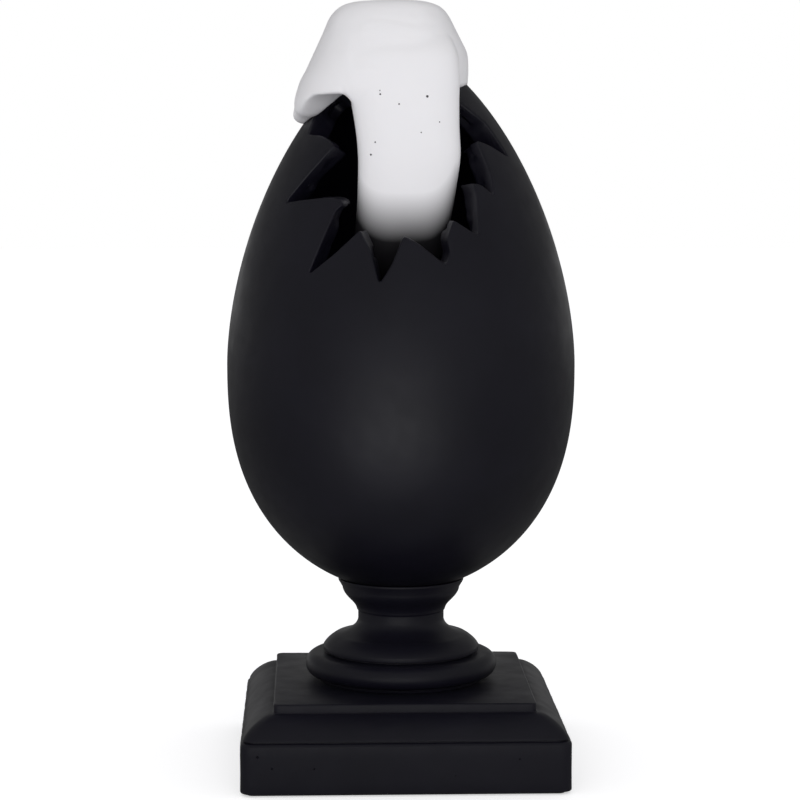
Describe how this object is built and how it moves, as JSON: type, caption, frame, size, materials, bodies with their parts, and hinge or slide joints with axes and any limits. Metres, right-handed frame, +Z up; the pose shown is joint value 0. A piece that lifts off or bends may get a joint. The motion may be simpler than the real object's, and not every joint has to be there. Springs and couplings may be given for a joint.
{
  "type": "resin egg sculpture on stand",
  "caption": "Hollow egg ornament with a jagged break, a white poured cap and run, on a turned column and a moulded square plinth.",
  "frame": {"origin": "on the ground under the middle of the square plinth", "axes": "+Z up along the egg's axis, -Y to the front where the egg is broken open, +X to the viewer's right"},
  "size_m": [0.1642, 0.1642, 0.3594],
  "materials": {
    "black_resin": "cast polyester resin sprayed satin black",
    "white_resin": "cast white resin, silky, with a few pinholes",
    "zinc_steel": "zinc plated steel",
    "felt": "black self-adhesive felt"
  },
  "bodies": {
    "root": {"base_felt": "felt", "plinth": "black_resin", "stand_column": "black_resin", "egg_shell": "black_resin", "white_pour": "white_resin", "crown_pin": "zinc_steel", "threaded_rod": "zinc_steel", "cast_in_nut": "zinc_steel", "hex_nut": "zinc_steel", "spring_washer": "zinc_steel", "load_washer": "zinc_steel"}
  },
  "joints": []
}
